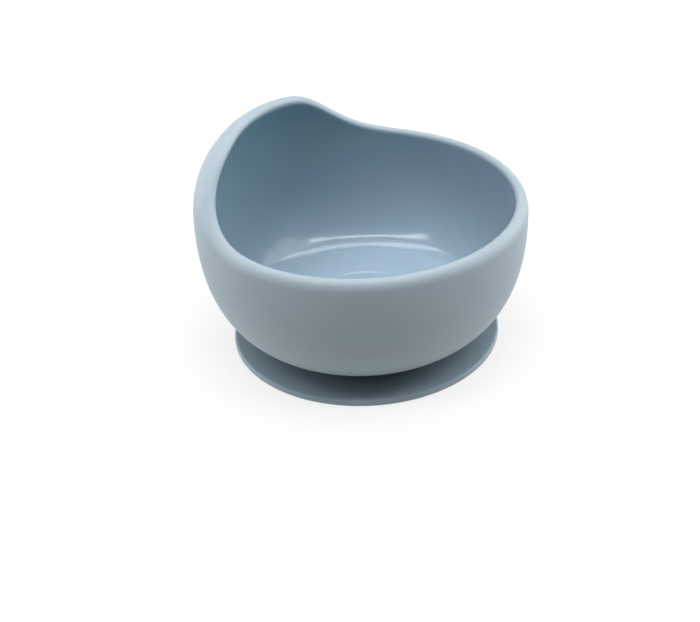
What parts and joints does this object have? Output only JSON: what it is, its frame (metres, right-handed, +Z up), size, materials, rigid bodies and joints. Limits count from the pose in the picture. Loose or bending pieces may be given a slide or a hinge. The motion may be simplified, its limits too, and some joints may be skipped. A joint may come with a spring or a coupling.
{
  "type": "suction bowl",
  "caption": "Round feeding bowl for a small child with a raised back, on a plug-in suction base that grips the table and lifts off for washing.",
  "frame": {"origin": "centre of the flat sealing lip, in the table's plane", "axes": "+Z up along the bowl's axis, +Y towards the high back, -Y towards the low front, +X to the right of somebody looking from the front"},
  "size_m": [0.12, 0.12, 0.0805],
  "materials": {
    "bowl_silicone": "soft matte silicone outside, satin inside",
    "base_silicone": "soft matte silicone"
  },
  "bodies": {
    "suction_skirt": {"suction_skirt": "base_silicone"},
    "base_hub": {"base_hub": "base_silicone"},
    "bowl": {"bowl": "bowl_silicone"}
  },
  "joints": [
    {"name": "suction_press", "type": "slide", "parent": "suction_skirt", "child": "base_hub", "axis": [0, 0, -1], "range_m": [0, 0.0015], "stiffness_N_per_m": 1000, "springref_m": -0.002, "deforming": ["suction_skirt"]},
    {"name": "bowl_lift", "type": "slide", "parent": "base_hub", "child": "bowl", "axis": [0, 0, 1], "range_m": [0, 0.03]}
  ]
}
